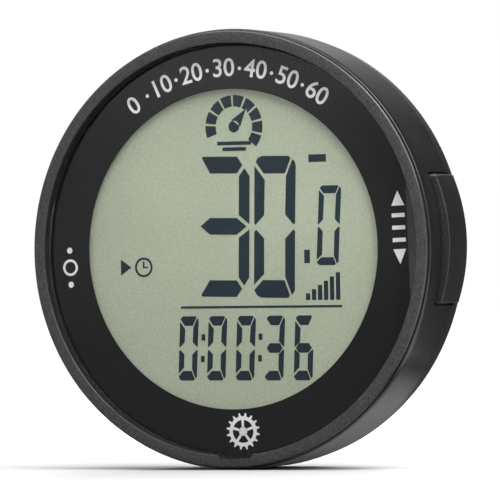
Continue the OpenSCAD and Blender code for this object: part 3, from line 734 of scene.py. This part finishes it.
# the plunger, with a groove for its seal and one for its clip, turned to lie along X
plunger_r, seal_r, clip_r, plunger_y = 1.25, 0.87, 0.95, -5.3
plunger = closed(pulled("plunger", (
    (0.01, 24.6), (1.1, 24.6), (plunger_r, 24.75), (plunger_r, 24.93), (clip_r, 24.93),
    (clip_r, 25.37), (plunger_r, 25.37), (plunger_r, 26.38), (seal_r, 26.38),
    (seal_r, 26.92), (plunger_r, 26.92), (plunger_r, 28.9), (0.01, 28.9),
), 40))
plunger.location = (0, plunger_y * mm, 0)
plunger.rotation_euler = (0, 0, -pi / 2)
bpy.ops.object.transform_apply(location=True, rotation=True, scale=True)
cut(key, plunger, "UNION")

# the left key is the right one mirrored
set_key = key.copy()
set_key.data = key.data.copy()
set_key.name = "set_key"
bpy.context.collection.objects.link(set_key)
bpy.ops.object.select_all(action="DESELECT")
set_key.select_set(True)
bpy.context.view_layer.objects.active = set_key
set_key.scale = (-1, 1, 1)
bpy.ops.object.transform_apply(location=True, rotation=True, scale=True)
bpy.ops.object.mode_set(mode="EDIT")
closed(set_key)
finished(key, key_black, "mode_button", "mode_button")
finished(set_key, key_black, "set_button", "set_button")

# ---- Studio ----------------------------------------------------------------------------------
# The case stands on its rim on a white table that slopes a little, under soft lamps. Grey cards
# that only gloss and glass see give the wall, the bezel and the lens something to mirror; the
# one under the case carries a painted shadow.
tilt = radians(1.6)
rim = cad_box[1][2]


def on_table(x, y, lift=0.0):
    """A place on the table, or a little above it."""
    return (x, y, -(rim + x * sin(tilt)) / cos(tilt) + lift)


def seen_plainly(nodes, links):
    """1 for what the camera sees by itself, in gloss or through glass, and 0 for soft light."""
    path = nodes.new("ShaderNodeLightPath")
    either = nodes.new("ShaderNodeMath")
    either.operation = "MAXIMUM"
    links.new(path.outputs["Is Camera Ray"], either.inputs[0])
    links.new(path.outputs["Is Glossy Ray"], either.inputs[1])
    any_of = nodes.new("ShaderNodeMath")
    any_of.operation = "MAXIMUM"
    links.new(either.outputs[0], any_of.inputs[0])
    links.new(path.outputs["Is Transmission Ray"], any_of.inputs[1])
    return any_of.outputs[0]


# the table turns plain white away from the case, where no shadow lies
bpy.ops.mesh.primitive_plane_add(size=6, location=on_table(0, 0), rotation=(0, tilt, 0))
floor = bpy.context.active_object
floor.name = "floor"
paper, nodes, links, shader = new_material("white table", (0.55, 0.55, 0.55), 0.6)
shader.inputs["Specular IOR Level"].default_value = 0.1
place = nodes.new("ShaderNodeTexCoord")
reach = nodes.new("ShaderNodeVectorMath")
reach.operation = "LENGTH"
links.new(place.outputs["Object"], reach.inputs[0])
far = nodes.new("ShaderNodeMapRange")
far.interpolation_type = "SMOOTHSTEP"
far.inputs["From Min"].default_value = 0.03
far.inputs["From Max"].default_value = 0.13
far.inputs["To Max"].default_value = 0.9
links.new(reach.outputs["Value"], far.inputs["Value"])
lift = times(nodes, links, seen_plainly(nodes, links), far.outputs["Result"])
shader.inputs["Emission Color"].default_value = (1, 1, 1, 1)
links.new(lift, shader.inputs["Emission Strength"])
floor.data.materials.append(paper)

world = bpy.data.worlds.new("studio")
bpy.context.scene.world = world
world.use_nodes = True
nodes, links = world.node_tree.nodes, world.node_tree.links
back = nodes["Background"]
back.inputs["Color"].default_value = (1, 1, 1, 1)
level = spread(nodes, links, seen_plainly(nodes, links), 0.22, 1.0, 0, 1)
links.new(level, back.inputs["Strength"])


def lamp(name, place, size, power, aim=(0, 0, 0)):
    """A soft box at a place, turned towards the aim."""
    bpy.ops.object.light_add(type="AREA", location=place)
    light = bpy.context.active_object
    light.name = name
    light.data.shape = "RECTANGLE"
    light.data.size, light.data.size_y = size
    light.data.energy = power
    dx, dy, dz = (aim[i] - place[i] for i in range(3))
    light.rotation_euler = (pi / 2 - atan2(-dz, hypot(dx, dy)), 0, atan2(-dx, dy))


lamp("overhead box", (0.03, 0.0, 0.17), (0.26, 0.22), 0.85, (0.03, 0.0, 0))
lamp("right box", (0.2, -0.06, 0.19), (0.16, 0.22), 0.7)
lamp("rear box", (-0.08, 0.34, 0.2), (0.24, 0.2), 1.1)


def flag(name, place, size, facing, stops, along="Y"):
    """A card that only gloss and glass see, shaded by stops along one of its sides."""
    bpy.ops.mesh.primitive_plane_add(size=1, location=place, rotation=facing)
    card = bpy.context.active_object
    card.name = name
    card.scale = (*size, 1)
    made = bpy.data.materials.new(name)
    made.use_nodes = True
    nodes, links = made.node_tree.nodes, made.node_tree.links
    nodes.remove(nodes["Principled BSDF"])
    glow = nodes.new("ShaderNodeEmission")
    where = nodes.new("ShaderNodeTexCoord")
    split = nodes.new("ShaderNodeSeparateXYZ")
    ramp = nodes.new("ShaderNodeValToRGB")
    while len(ramp.color_ramp.elements) < len(stops):
        ramp.color_ramp.elements.new(0.5)
    for element, (position, shade) in zip(ramp.color_ramp.elements, stops):
        element.position = position
        element.color = (shade, shade, shade, 1)
    links.new(where.outputs["Object"], split.inputs["Vector"])
    run = spread(nodes, links, split.outputs[along], 0, 1, -0.5, 0.5)
    links.new(run, ramp.inputs["Fac"])
    links.new(ramp.outputs["Color"], glow.inputs["Color"])
    links.new(glow.outputs["Emission"], nodes["Material Output"].inputs["Surface"])
    card.data.materials.append(made)
    card.visible_camera = False
    card.visible_diffuse = False
    card.visible_shadow = False


turn = radians(25.67)
upright, flat = (pi / 2, 0, 0), (0, tilt, 0)
plain_dark, plain_grey = ((0, 0.1), (1, 0.1)), ((0, 0.24), (1, 0.24))
flag("front flag", (-0.06, -0.13, 0.09), (0.18, 0.3), (pi / 2, 0, -turn),
     ((0.1, 0.24), (0.2, 0.36), (0.32, 0.42), (0.38, 0.55), (0.45, 0.9)))
flag("front table flag", on_table(-0.05, -0.1072, 0.0012), (0.2, 0.1856), flat, plain_grey)
# painted shadow: this card lies under the case and is darkest near where the rim touches the table,
# so that the wall's underside mirrors the table's contact shadow
flag("table flag", on_table(0.0, 0.0, 0.0002), (0.07, 0.05), flat,
     ((0.0, 0.4), (0.4, 0.1), (0.55, 0.04), (0.614, 0.22),
      (0.67, 0.45), (0.78, 0.75), (0.88, 0.6), (0.93, 0.1)), "X")
flag("back flag", (0.1, 0.12, 0.06), (0.4, 0.2), upright,
     ((0.1, 0.6), (0.2, 0.5), (0.28, 0.16), (0.36, 0.05), (1.0, 0.03)), "X")
flag("upper back flag", (0.0, 0.12, 0.13), (0.5, 0.22), (0, 0, 0), plain_dark)
flag("low back flag", (0.0, 0.11, -0.015), (0.3, 0.03), upright, plain_dark)
flag("back table flag", on_table(0.08, 0.075, 0.0002), (0.45, 0.1), flat, plain_dark)

# The camera stands 0.6 m from the face, 26 degrees round towards the mode button, and is rolled
# a little and shifted a little to the right.
roll = radians(2.8)
away = 0.6
back_axis = (sin(turn) * cos(roll), -cos(turn), -sin(turn) * sin(roll))
up_axis = (sin(roll), 0, cos(roll))
right_axis = (cos(turn) * cos(roll), sin(turn), -cos(turn) * sin(roll))
shift_right, shift_up = 3.23 * mm, -0.115 * mm
spot = [away * back_axis[i] + shift_right * right_axis[i] + shift_up * up_axis[i] for i in range(3)]
spot[1] += cad_box[0][1]
camera_data = bpy.data.cameras.new("camera")
camera = bpy.data.objects.new("camera", camera_data)
bpy.context.collection.objects.link(camera)
camera_data.sensor_width = 36
camera_data.lens = 318.2
camera_data.clip_start = 0.05
camera_data.clip_end = 20
camera.matrix_world = Matrix((
    (right_axis[0], up_axis[0], back_axis[0], spot[0]),
    (right_axis[1], up_axis[1], back_axis[1], spot[1]),
    (right_axis[2], up_axis[2], back_axis[2], spot[2]),
    (0, 0, 0, 1),
))
bpy.context.scene.camera = camera
bpy.context.scene.view_settings.view_transform = "Standard"
